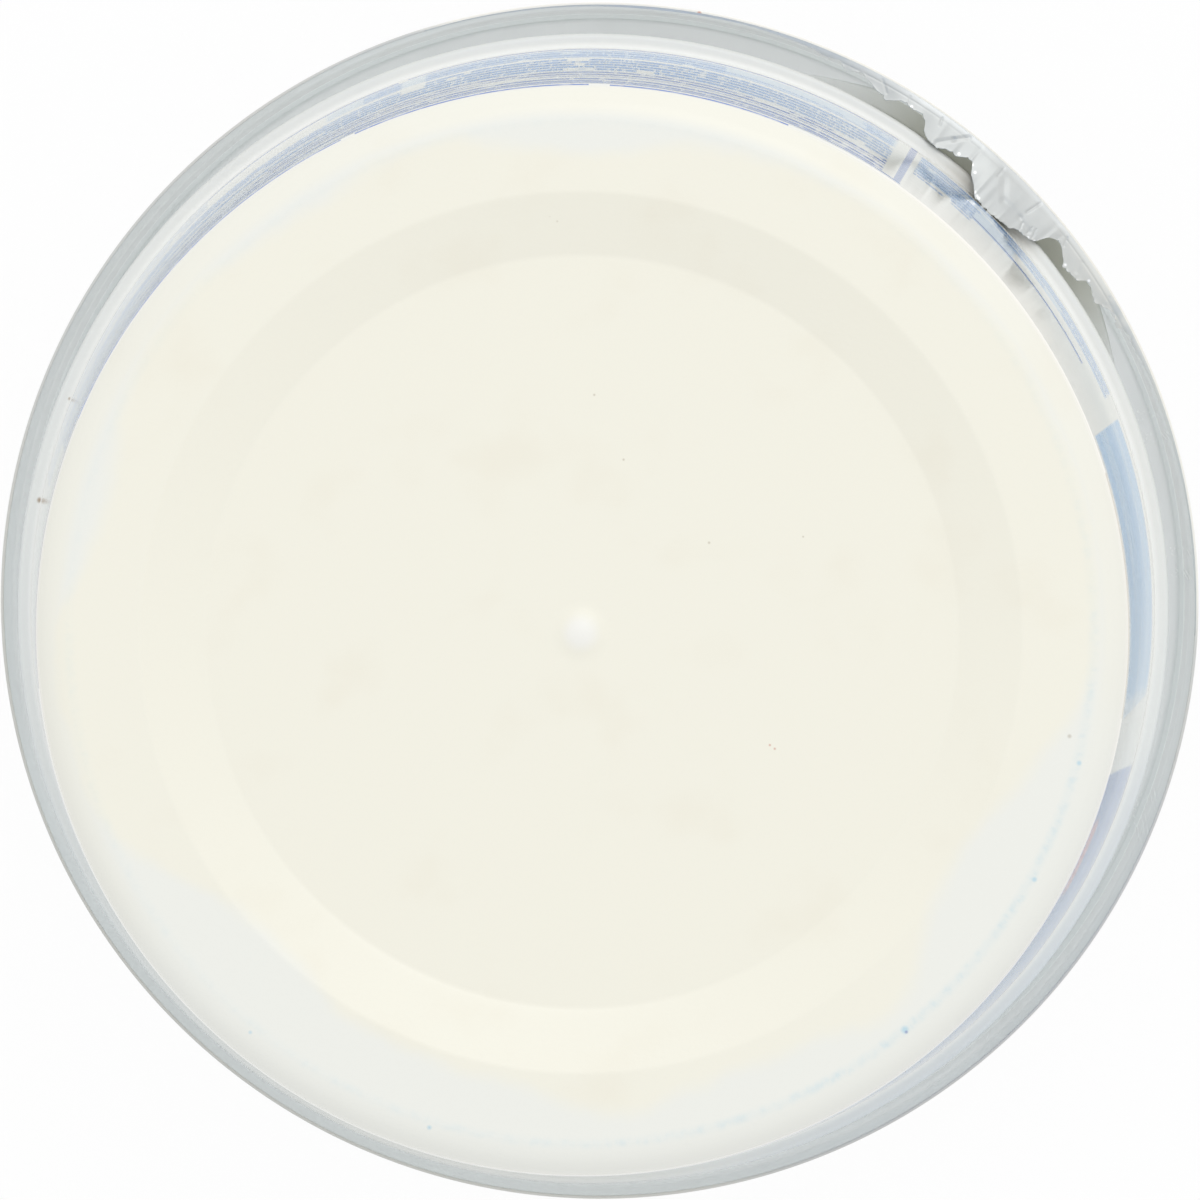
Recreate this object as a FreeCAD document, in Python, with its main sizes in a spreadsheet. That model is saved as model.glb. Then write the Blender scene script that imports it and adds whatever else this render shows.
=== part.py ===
"""Cream cheese tub with its foil seal and push-on lid, standing upside down on the lid.

The document holds four pieces: the drafted tub, the cheese that fills it, the foil seal with its
broad tab folded down outside the rim, and the thin lid. The bunched tab holds the tub off the
lid's centre. Heights are measured up from the face that the lid rests on, so the base of the tub
is at the top, and the origin is the middle of that face.
"""
import FreeCAD, Part
import math
import os
from types import SimpleNamespace

import Sketcher

SIZES = [
    # tub
    ("body_radius", 50.0, "outside of the collar, at the shoulder"),
    ("tub_depth", 47.0, "mouth to foot"),
    ("collar_depth", 12.0, "mouth to shoulder"),
    ("shoulder_width", 1.2, "how far the collar stands out from the wall"),
    ("wall_lean", 4.2, "how far the wall draws in from shoulder to foot"),
    ("wall", 0.8, "thickness of the side wall"),
    ("base_wall", 0.9, "thickness of the base"),
    ("corner_radius", 3.0, "rounding between wall and foot"),
    ("shoulder_round", 0.7, "hollow rounding where the wall meets the shoulder"),
    ("edge_round", 0.18, "rounding of the collar's and rim's outer edges"),
    ("foot_width", 8.5, "foot ring, from the wall's corner to the recess"),
    ("slope_width", 5.2, "sloping side of the recess"),
    ("recess_depth", 1.8, "depth of the recess in the base"),
    ("recess_round", 1.2, "rounding of the recess's two edges"),
    ("gate_radius", 2.3, "moulding point at the centre of the base"),
    ("gate_height", 0.8, "how far the moulding point stands up"),
    ("gate_flat", 0.4, "radius of the flat where the moulding point was cut"),
    ("rim_overhang", 0.2, "how far the rim stands out from the collar"),
    ("rim_depth", 1.2, "thickness of the rim"),
    ("land_width", 1.45, "flat land that the foil is sealed to"),
    ("collar_draft", 0.08, "draft of the collar's inside"),
    # foil seal
    ("foil_thickness", 0.15, "sealing foil"),
    ("foil_shift", 0.75, "how far the foil sits towards its tab"),
    ("foil_cover", 0.6, "least land that the foil covers, on the side away from the tab"),
    ("dish_inset", 0.45, "from the tub's mouth to the foil's dish"),
    ("dish_slope", 0.7, "sloping side of the foil's dish"),
    ("tab_angle", 48.0, "direction of the tab, in degrees from +X"),
    ("tab_half_angle", 60.0, "half the arc that the tab spans, in degrees"),
    ("tab_short", 0.4, "how far the tab stops short of the shoulder"),
    ("pleat_count", 34, "folds along the tab"),
    ("tub_shift", 0.89, "how far the bunched tab holds the tub off the lid's centre"),
    ("shift_angle", 231.0, "direction of that shift, in degrees from +X"),
    # lid
    ("lid_wall", 0.6, "thickness of the lid"),
    ("skirt_short", 0.2, "how far the skirt stops short of the shoulder"),
    ("lid_taper", 0.15, "draft of the skirt"),
    ("ridge_depth", 1.8, "stacking ridge, from its crest to the panel"),
    ("ridge_draft", 0.4, "lean of the ridge's inner side"),
    ("lid_corner", 1.0, "rounding of the lid's outer corner"),
    ("skirt_round", 0.22, "rounding of the skirt's edge"),
    ("snap_height", 0.35, "how far the snap bead stands in"),
    ("snap_width", 1.2, "width of the snap bead"),
    # clearances
    ("seat_gap", 0.05, "between the lid, the foil and the rim where they rest on each other"),
    ("fill_gap", 0.12, "between the cheese and what holds it"),
    ("rim_clearance", 0.16, "rim to skirt at the tightest side"),
    ("plug_clearance", 0.12, "foil's dish to the ridge at the tightest side"),
    ("snap_gap", 0.1, "rim to snap bead"),
]

SHEET = "Sizes"
ON_AXIS = 0
EDGE_TOLERANCE = 1e-4


class Length:
    """A size that carries both its value and the formula that binds it to the sheet."""

    def __init__(self, formula, value):
        self.formula = formula
        self.value = value

    @staticmethod
    def of(other):
        return other if isinstance(other, Length) else Length(repr(float(other)), float(other))

    def __add__(self, other):
        other = Length.of(other)
        return Length(f"({self.formula} + {other.formula})", self.value + other.value)

    def __sub__(self, other):
        other = Length.of(other)
        return Length(f"({self.formula} - {other.formula})", self.value - other.value)

    def __mul__(self, other):
        other = Length.of(other)
        return Length(f"({self.formula} * {other.formula})", self.value * other.value)

    def __truediv__(self, other):
        other = Length.of(other)
        return Length(f"({self.formula} / {other.formula})", self.value / other.value)


def make_sheet(doc):
    """Writes the sizes into a sheet and gives them back by name."""
    sheet = doc.addObject("Spreadsheet::Sheet", SHEET)
    for row, (name, value, meaning) in enumerate(SIZES, 1):
        sheet.set(f"A{row}", name)
        sheet.set(f"B{row}", str(value))
        sheet.set(f"C{row}", meaning)
        sheet.setAlias(f"B{row}", name)
    doc.recompute()
    return SimpleNamespace(
        **{name: Length(f"{SHEET}.{name}", float(getattr(sheet, name))) for name, _, _ in SIZES}
    )


def derive(s):
    """Adds the radii and heights that the pieces share."""
    s.wall_radius = s.body_radius - s.shoulder_width
    s.foot_radius = s.wall_radius - s.wall_lean
    s.recess_radius = s.foot_radius - s.foot_width
    s.floor_radius = s.recess_radius - s.slope_width
    s.rim_radius = s.body_radius + s.rim_overhang
    s.mouth_radius = s.rim_radius - s.land_width

    s.foil_bottom = s.lid_wall + s.seat_gap
    s.mouth_height = s.foil_bottom + s.foil_thickness
    s.rim_height = s.mouth_height + s.rim_depth
    s.shoulder_height = s.mouth_height + s.collar_depth
    s.foot_height = s.mouth_height + s.tub_depth
    s.floor_height = s.foot_height - s.recess_depth
    s.wall_height = s.tub_depth - s.collar_depth
    s.ledge_height = s.shoulder_height - s.wall

    s.dish_radius = s.mouth_radius - s.dish_inset
    s.dish_floor_radius = s.dish_radius - s.dish_slope
    s.dish_bottom = s.ridge_depth + s.lid_wall + s.seat_gap
    s.foil_radius = s.mouth_radius + s.foil_cover + s.foil_shift
    s.tab_length = s.collar_depth - s.tab_short

    s.lid_depth = s.shoulder_height - s.skirt_short
    s.skirt_inside = s.rim_radius + s.tub_shift + s.rim_clearance
    s.lid_top_radius = s.skirt_inside + s.lid_wall
    s.lid_radius = s.lid_top_radius + s.lid_taper
    s.ridge_inside = s.dish_floor_radius - s.tub_shift - s.plug_clearance
    s.snap_middle = s.rim_height + s.snap_gap + s.snap_width / 2


def wall_at(s, height):
    """Outer radius of the drafted wall at a height."""
    return s.foot_radius + s.wall_lean * (s.foot_height - height) / s.wall_height


def skirt_at(s, height):
    """Inner radius of the lid's skirt at a height."""
    return s.skirt_inside + s.lid_taper * (height - s.lid_wall) / (s.lid_depth - s.lid_wall)


def origin_plane(body, role):
    return next(plane for plane in body.Origin.OriginFeatures if plane.Role == role)


def hold_point(sketch, line, end, radius, height):
    """Holds one end of a line at a radius from the axis and a height above the resting face."""
    if radius is ON_AXIS:
        sketch.addConstraint(Sketcher.Constraint("PointOnObject", line, end, -2))
    else:
        held = sketch.addConstraint(Sketcher.Constraint("DistanceX", line, end, radius.value))
        sketch.setExpression(f"Constraints[{held}]", radius.formula)
    held = sketch.addConstraint(Sketcher.Constraint("DistanceY", line, end, height.value))
    sketch.setExpression(f"Constraints[{held}]", height.formula)


def to_vector(radius, height):
    return FreeCAD.Vector(0 if radius is ON_AXIS else radius.value, height.value, 0)


def profile(body, name, corners):
    """Draws a closed outline through (radius, height) corners, to be turned about the axis."""
    sketch = body.newObject("Sketcher::SketchObject", name)
    sketch.AttachmentSupport = [(origin_plane(body, "XZ_Plane"), "")]
    sketch.MapMode = "FlatFace"
    ends = corners[1:] + corners[:1]
    for start, end in zip(corners, ends):
        sketch.addGeometry(Part.LineSegment(to_vector(*start), to_vector(*end)), False)
    for line in range(len(corners)):
        following = (line + 1) % len(corners)
        sketch.addConstraint(Sketcher.Constraint("Coincident", line, 2, following, 1))
    for line, (radius, height) in enumerate(corners):
        hold_point(sketch, line, 1, radius, height)
    return sketch


def turn(body, kind, name, sketch):
    """Turns a profile a full circle, adding with Revolution or cutting with Groove."""
    feature = body.newObject(f"PartDesign::{kind}", name)
    feature.Profile = (sketch, [""])
    feature.ReferenceAxis = (sketch, ["V_Axis"])
    feature.Angle = 360
    body.Document.recompute()
    return feature


def round_rings(body, name, rings, radius):
    """Rounds the circular edges that lie at the given (radius, height) places."""
    base = body.Tip
    edges = []
    for number, edge in enumerate(base.Shape.Edges, 1):
        if not isinstance(edge.Curve, Part.Circle):
            continue
        for ring_radius, ring_height in rings:
            off = abs(edge.Curve.Radius - ring_radius.value)
            if max(off, abs(edge.Curve.Center.z - ring_height.value)) < EDGE_TOLERANCE:
                edges.append(f"Edge{number}")
    if len(edges) != len(rings):
        raise RuntimeError(f"{name}: found {len(edges)} of {len(rings)} edges")
    fillet = body.newObject("PartDesign::Fillet", name)
    fillet.Base = (base, edges)
    fillet.setExpression("Radius", radius.formula)
    body.Document.recompute()
    return fillet


def set_off_centre(body, s):
    """Moves a body from the lid's axis to the tub's."""
    distance, angle = s.tub_shift.formula, s.shift_angle.formula
    body.setExpression("Placement.Base.x", f"{distance} * cos({angle})")
    body.setExpression("Placement.Base.y", f"{distance} * sin({angle})")


def inside_outline(s, gap):
    """The tub's inside from the axis at its base to the mouth, drawn in by a gap all over."""
    foot_inside = s.foot_height - s.base_wall
    return [
        (ON_AXIS, s.floor_height - s.base_wall - gap),
        (s.floor_radius, s.floor_height - s.base_wall - gap),
        (s.recess_radius, foot_inside - gap),
        (wall_at(s, foot_inside) - s.wall - gap, foot_inside - gap),
        (wall_at(s, s.ledge_height) - s.wall - gap, s.ledge_height - gap),
        (s.mouth_radius - s.collar_draft - gap, s.ledge_height - gap),
    ]


def add_gate(body, s):
    """Adds the small cut-off dome that the moulding point leaves at the centre of the base."""
    sunk = s.floor_height - s.base_wall / 2
    crest = s.floor_height + s.gate_height
    corners = [
        (s.gate_flat, crest),
        (ON_AXIS, crest),
        (ON_AXIS, sunk),
        (s.gate_radius, sunk),
        (s.gate_radius, s.floor_height),
    ]
    sketch = body.newObject("Sketcher::SketchObject", "GateProfile")
    sketch.AttachmentSupport = [(origin_plane(body, "XZ_Plane"), "")]
    sketch.MapMode = "FlatFace"
    for start, end in zip(corners, corners[1:]):
        sketch.addGeometry(Part.LineSegment(to_vector(*start), to_vector(*end)), False)
    rise, reach, flat = s.gate_height.value, s.gate_radius.value, s.gate_flat.value
    drop = (reach**2 - flat**2 - rise**2) / (2 * rise)
    centre = FreeCAD.Vector(0, s.floor_height.value - drop, 0)
    circle = Part.Circle(centre, FreeCAD.Vector(0, 0, 1), math.hypot(reach, drop))
    low, high = math.atan2(drop, reach), math.atan2(drop + rise, flat)
    dome = sketch.addGeometry(Part.ArcOfCircle(circle, low, high), False)
    for line in range(len(corners) - 2):
        sketch.addConstraint(Sketcher.Constraint("Coincident", line, 2, line + 1, 1))
    sketch.addConstraint(Sketcher.Constraint("Coincident", len(corners) - 2, 2, dome, 1))
    sketch.addConstraint(Sketcher.Constraint("Coincident", 0, 1, dome, 2))
    sketch.addConstraint(Sketcher.Constraint("PointOnObject", dome, 3, -2))
    for line, (radius, height) in enumerate(corners[:-1]):
        hold_point(sketch, line, 1, radius, height)
    hold_point(sketch, len(corners) - 2, 2, *corners[-1])
    return turn(body, "Revolution", "Gate", sketch)


def make_tub(doc, s):
    """Drafted cup: recessed base, foot ring, rounded corner, wall, stepped shoulder, collar, rim."""
    body = doc.addObject("PartDesign::Body", "Tub")
    body.Label = "tub"
    outside = profile(body, "TubOutside", [
        (ON_AXIS, s.floor_height),
        (s.floor_radius, s.floor_height),
        (s.recess_radius, s.foot_height),
        (s.foot_radius, s.foot_height),
        (s.wall_radius, s.shoulder_height),
        (s.body_radius, s.shoulder_height),
        (s.body_radius, s.rim_height),
        (s.rim_radius, s.rim_height),
        (s.rim_radius, s.mouth_height),
        (ON_AXIS, s.mouth_height),
    ])
    turn(body, "Revolution", "TubBlank", outside)
    below_mouth = s.mouth_height - s.rim_depth
    cavity = inside_outline(s, Length.of(0)) + [
        (s.mouth_radius, s.mouth_height),
        (s.mouth_radius, below_mouth),
        (ON_AXIS, below_mouth),
    ]
    turn(body, "Groove", "Cavity", profile(body, "TubInside", cavity))
    round_rings(body, "FootCorner", [(s.foot_radius, s.foot_height)], s.corner_radius)
    foot_inside = s.foot_height - s.base_wall
    inner_corner = (wall_at(s, foot_inside) - s.wall, foot_inside)
    round_rings(body, "InnerCorner", [inner_corner], s.corner_radius - s.wall)
    recess = [(s.recess_radius, s.foot_height), (s.floor_radius, s.floor_height)]
    round_rings(body, "RecessEdges", recess, s.recess_round)
    round_rings(body, "Shoulder", [(s.wall_radius, s.shoulder_height)], s.shoulder_round)
    outer_edges = [(s.body_radius, s.shoulder_height), (s.rim_radius, s.mouth_height)]
    round_rings(body, "OuterEdges", outer_edges, s.edge_round)
    add_gate(body, s)
    set_off_centre(body, s)
    return body


def make_cheese(doc, s):
    """The filling: the tub's inside, out to the wall and down to the foil's dish."""
    body = doc.addObject("PartDesign::Body", "Cheese")
    body.Label = "cream_cheese"
    gap = s.fill_gap
    foil_top = s.foil_thickness + gap
    outline = inside_outline(s, gap) + [
        (s.mouth_radius - gap, s.foil_bottom + foil_top),
        (s.dish_radius, s.foil_bottom + foil_top),
        (s.dish_floor_radius, s.dish_bottom + foil_top),
        (ON_AXIS, s.dish_bottom + foil_top),
    ]
    turn(body, "Revolution", "Filling", profile(body, "FillingProfile", outline))
    foot_inside = s.foot_height - s.base_wall
    corner = (wall_at(s, foot_inside) - s.wall - gap, foot_inside - gap)
    round_rings(body, "FillingCorner", [corner], s.corner_radius - s.wall - gap)
    set_off_centre(body, s)
    return body


def make_foil_disc(doc, s):
    """The dished disc of foil, trimmed to a circle that sits off centre towards the tab."""
    body = doc.addObject("PartDesign::Body", "FoilDisc")
    body.Label = "foil_disc"
    blank_radius = s.foil_radius + s.foil_shift + s.rim_depth
    thickness = s.foil_thickness
    turn(body, "Revolution", "FoilBlank", profile(body, "FoilProfile", [
        (ON_AXIS, s.dish_bottom),
        (s.dish_floor_radius, s.dish_bottom),
        (s.dish_radius, s.foil_bottom),
        (blank_radius, s.foil_bottom),
        (blank_radius, s.foil_bottom + thickness),
        (s.dish_radius, s.foil_bottom + thickness),
        (s.dish_floor_radius, s.dish_bottom + thickness),
        (ON_AXIS, s.dish_bottom + thickness),
    ]))
    sketch = body.newObject("Sketcher::SketchObject", "TrimCircle")
    sketch.AttachmentSupport = [(origin_plane(body, "XY_Plane"), "")]
    sketch.MapMode = "FlatFace"
    waste_radius = blank_radius + s.foil_shift + s.rim_depth
    for radius in (s.foil_radius, waste_radius):
        centre = FreeCAD.Vector(s.foil_shift.value, 0, 0)
        ring = sketch.addGeometry(Part.Circle(centre, FreeCAD.Vector(0, 0, 1), radius.value), False)
        sketch.addConstraint(Sketcher.Constraint("PointOnObject", ring, 3, -1))
        held = sketch.addConstraint(Sketcher.Constraint("DistanceX", ring, 3, centre.x))
        sketch.setExpression(f"Constraints[{held}]", s.foil_shift.formula)
        held = sketch.addConstraint(Sketcher.Constraint("Radius", ring, radius.value))
        sketch.setExpression(f"Constraints[{held}]", radius.formula)
    trim = body.newObject("PartDesign::Pocket", "Trim")
    trim.Profile = (sketch, [""])
    trim.Type = "ThroughAll"
    trim.Midplane = True
    doc.recompute()
    body.Placement.Rotation = FreeCAD.Rotation(FreeCAD.Vector(0, 0, 1), s.tab_angle.value)
    body.setExpression("Placement.Rotation.Angle", s.tab_angle.formula)
    set_off_centre(body, s)
    return body


def uneven(step, seed):
    """A steady number from 0 to 1 that differs from fold to fold."""
    return 0.5 + 0.5 * math.sin(seed + 2.399 * step + 1.7 * math.sin(0.9 * step + seed))


def tab_grid(s):
    """Rows of inner and outer points of the pleated tab, from the fold down to the ragged edge.

    Seen from above, the tab zigzags between the rim and the lid's skirt, more and more towards
    its free edge. The edge follows a flat arc that falls away at both ends of the tab.
    """
    rows = 4
    pleats = int(s.pleat_count.value)
    half = math.radians(s.tab_half_angle.value)
    fold_radius = s.rim_radius.value + s.seat_gap.value
    thickness = s.foil_thickness.value
    shift_from_tab = math.radians(s.shift_angle.value - s.tab_angle.value)
    grid = []
    for column in range(2 * pleats + 1):
        angle = half * (column / pleats - 1)
        lid_inside = s.skirt_inside.value - s.tub_shift.value * math.cos(angle - shift_from_tab)
        room = lid_inside - fold_radius - thickness - s.rim_clearance.value
        fold = room * (0.55 + 0.4 * uneven(column, 1.0)) if column % 2 else 0.1 * room
        ends = 1 - 0.72 * (abs(angle) / half) ** 7
        length = s.tab_length.value * ends * (1 - 0.07 * uneven(column, 4.0))
        column_points = []
        for row in range(rows):
            share = row / (rows - 1)
            height = s.mouth_height.value + share * length
            inner = fold_radius + fold * share
            column_points.append([
                FreeCAD.Vector(radius * math.cos(angle), radius * math.sin(angle), height)
                for radius in (inner, inner + thickness)
            ])
        grid.append(column_points)
    return grid


def strip_faces(first, second):
    """Two triangles for each step between two runs of points."""
    faces = []
    for a, b, c, d in zip(first, first[1:], second[1:], second):
        for corners in ((a, b, c), (a, c, d)):
            faces.append(Part.Face(Part.makePolygon([*corners, corners[0]])))
    return faces


def make_tab(doc, s):
    """The crumpled tab as one faceted solid: its two skins, its edge, its fold and its ends."""
    grid = tab_grid(s)
    faces = []
    for left, right in zip(grid, grid[1:]):
        for side in (0, 1):
            faces += strip_faces([p[side] for p in left], [p[side] for p in right])
        for row in (0, -1):
            faces += strip_faces(left[row], right[row])
    for end in (grid[0], grid[-1]):
        faces += strip_faces([p[0] for p in end], [p[1] for p in end])
    solid = Part.makeSolid(Part.makeShell(faces))
    if solid.Volume < 0:
        solid.reverse()
    tab = doc.addObject("Part::Feature", "FoilTab")
    tab.Label = "foil_tab"
    tab.Shape = solid
    shift_angle = math.radians(s.shift_angle.value)
    off_centre = FreeCAD.Vector(math.cos(shift_angle), math.sin(shift_angle), 0)
    tab.Placement = FreeCAD.Placement(
        off_centre * s.tub_shift.value,
        FreeCAD.Rotation(FreeCAD.Vector(0, 0, 1), s.tab_angle.value),
    )
    return tab


def make_foil(doc, s):
    """The foil seal: the dished disc and its folded, crumpled tab as one piece."""
    foil = doc.addObject("Part::MultiFuse", "FoilSeal")
    foil.Label = "foil_seal"
    foil.Shapes = [make_foil_disc(doc, s), make_tab(doc, s)]
    foil.Refine = True
    doc.recompute()
    return foil


def make_lid(doc, s):
    """Thin lid: recessed panel, hollow stacking ridge over the rim, drafted skirt, snap bead."""
    body = doc.addObject("PartDesign::Body", "Lid")
    body.Label = "lid"
    ridge_wall = s.ridge_inside
    ridge_outside = ridge_wall - s.lid_wall
    snap_start = s.snap_middle - s.snap_width / 2
    snap_end = s.snap_middle + s.snap_width / 2
    turn(body, "Revolution", "LidShell", profile(body, "LidProfile", [
        (ON_AXIS, s.ridge_depth),
        (ridge_outside - s.ridge_draft, s.ridge_depth),
        (ridge_outside, Length.of(0)),
        (s.lid_top_radius, Length.of(0)),
        (s.lid_radius, s.lid_depth),
        (s.lid_radius - s.lid_wall, s.lid_depth),
        (skirt_at(s, snap_end), snap_end),
        (skirt_at(s, s.snap_middle) - s.snap_height, s.snap_middle),
        (skirt_at(s, snap_start), snap_start),
        (s.skirt_inside, s.lid_wall),
        (ridge_wall, s.lid_wall),
        (ridge_wall - s.ridge_draft, s.ridge_depth + s.lid_wall),
        (ON_AXIS, s.ridge_depth + s.lid_wall),
    ]))
    round_rings(body, "LidCorner", [(s.lid_top_radius, Length.of(0))], s.lid_corner)
    round_rings(body, "LidInnerCorner", [(s.skirt_inside, s.lid_wall)], s.lid_corner - s.lid_wall)
    ridge_edges = [(ridge_outside, Length.of(0)), (ridge_outside - s.ridge_draft, s.ridge_depth)]
    round_rings(body, "RidgeEdges", ridge_edges, s.lid_wall / 2)
    skirt_edges = [(s.lid_radius, s.lid_depth), (s.lid_radius - s.lid_wall, s.lid_depth)]
    round_rings(body, "SkirtEdge", skirt_edges, s.skirt_round)
    snap_crest = [(skirt_at(s, s.snap_middle) - s.snap_height, s.snap_middle)]
    round_rings(body, "SnapCrest", snap_crest, s.snap_height / 2)
    return body


def check_objects(doc):
    """Stops if any object of the document failed to compute."""
    failed = [o.Name for o in doc.Objects if {"Invalid", "Error"} & set(o.State)]
    if failed:
        raise RuntimeError(f"objects failed: {failed}")


def write_pieces(pieces):
    """Writes each piece to parts/, once every one of them is a single valid solid."""
    for piece in pieces:
        shape = piece.Shape
        if shape.isNull() or not shape.isValid() or len(shape.Solids) != 1:
            raise RuntimeError(f"{piece.Label} isn't one valid solid")
    os.makedirs("parts", exist_ok=True)
    for piece in pieces:
        piece.Shape.exportStep(f"parts/{piece.Label}.step")
        box = piece.Shape.BoundBox
        print(
            f"{piece.Label}: {piece.Shape.Volume / 1000:.2f} cm3, {len(piece.Shape.Faces)} faces, "
            f"X {box.XMin:.2f}..{box.XMax:.2f}, Y {box.YMin:.2f}..{box.YMax:.2f}, "
            f"Z {box.ZMin:.2f}..{box.ZMax:.2f}"
        )


def main():
    doc = FreeCAD.newDocument("CreamCheeseTub")
    s = make_sheet(doc)
    derive(s)
    pieces = [make_tub(doc, s), make_cheese(doc, s), make_foil(doc, s), make_lid(doc, s)]
    doc.recompute()
    check_objects(doc)
    write_pieces(pieces)


main()
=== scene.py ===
# %% [markdown]
# # A tub of cream cheese, upside down on its lid
#
# The pack is four pieces: a thin white cup, the cheese in it, a foil seal over
# its mouth, and a clear push-on lid that the upturned cup stands on. The
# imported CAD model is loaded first. It fixes every size, so each piece below is
# a finer skin over the solid that it stands for.

# %% Load the frame
import math

import bpy
import numpy as np
from mathutils import Matrix, Vector


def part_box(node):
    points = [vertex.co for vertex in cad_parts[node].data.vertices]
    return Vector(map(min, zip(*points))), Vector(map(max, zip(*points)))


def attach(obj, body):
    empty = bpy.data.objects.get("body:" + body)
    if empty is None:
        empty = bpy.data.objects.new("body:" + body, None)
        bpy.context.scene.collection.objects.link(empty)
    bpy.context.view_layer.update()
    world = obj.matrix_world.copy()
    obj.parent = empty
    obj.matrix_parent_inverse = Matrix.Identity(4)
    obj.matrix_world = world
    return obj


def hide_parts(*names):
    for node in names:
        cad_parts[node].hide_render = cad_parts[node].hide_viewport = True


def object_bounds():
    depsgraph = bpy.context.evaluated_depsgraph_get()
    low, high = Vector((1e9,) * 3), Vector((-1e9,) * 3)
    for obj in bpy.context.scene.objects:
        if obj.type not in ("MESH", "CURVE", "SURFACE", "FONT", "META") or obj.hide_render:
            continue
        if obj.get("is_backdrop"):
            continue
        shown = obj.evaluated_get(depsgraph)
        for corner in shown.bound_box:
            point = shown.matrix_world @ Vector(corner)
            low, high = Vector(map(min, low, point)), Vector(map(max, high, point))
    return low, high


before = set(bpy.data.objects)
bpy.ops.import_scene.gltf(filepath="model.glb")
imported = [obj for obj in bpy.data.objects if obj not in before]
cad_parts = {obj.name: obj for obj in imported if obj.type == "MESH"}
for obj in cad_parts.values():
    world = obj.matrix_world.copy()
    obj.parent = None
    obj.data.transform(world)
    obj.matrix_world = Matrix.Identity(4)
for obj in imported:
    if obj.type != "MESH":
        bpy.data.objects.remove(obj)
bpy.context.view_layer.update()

MM = 0.001
tub_low, tub_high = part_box("tub")
TUB_AXIS = (tub_low + tub_high) / 2 / MM
print("the cup's axis in mm", round(TUB_AXIS.x, 3), round(TUB_AXIS.y, 3))

# %% [markdown]
# ## Camera
#
# The pack is seen from above its base with a long lens, tilted a few degrees
# towards the upper right. Far away and narrow is the right choice for a round
# thing seen end on: its circles stay circles, and the drafted wall shows only
# as a thin ring.

# %% Camera
CAMERA_AIM = Vector((0.15 * MM, 0.28 * MM, 12.6 * MM))
CAMERA_DISTANCE = 0.6
CAMERA_TILT = math.radians(3.3)
CAMERA_LEAN = Vector((0.45, 0.893, 0)).normalized()
HALF_VIEW = math.radians(4.96)

view_axis = CAMERA_LEAN * math.sin(CAMERA_TILT) + Vector((0, 0, math.cos(CAMERA_TILT)))
right = Vector((0, 1, 0)).cross(view_axis).normalized()
up = view_axis.cross(right)
camera_data = bpy.data.cameras.new("camera")
camera_data.sensor_width = 36
camera_data.lens = 18 / math.tan(HALF_VIEW)
camera = bpy.data.objects.new("camera", camera_data)
place = Matrix((right, up, view_axis)).transposed().to_4x4()
place.translation = CAMERA_AIM + view_axis * CAMERA_DISTANCE
camera.matrix_world = place
bpy.context.scene.collection.objects.link(camera)
bpy.context.scene.camera = camera
bpy.context.scene.view_settings.view_transform = "Standard"
print("lens", round(camera_data.lens, 1), "mm")

# %% [markdown]
# ## A short way to write shader sums
#
# A material here is mostly arithmetic: how far a point lies from the axis, at
# what angle, and which colour belongs there. Wires that can be added and
# multiplied like numbers make such sums readable. Each sum adds its Math nodes
# to the material's tree.


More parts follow.
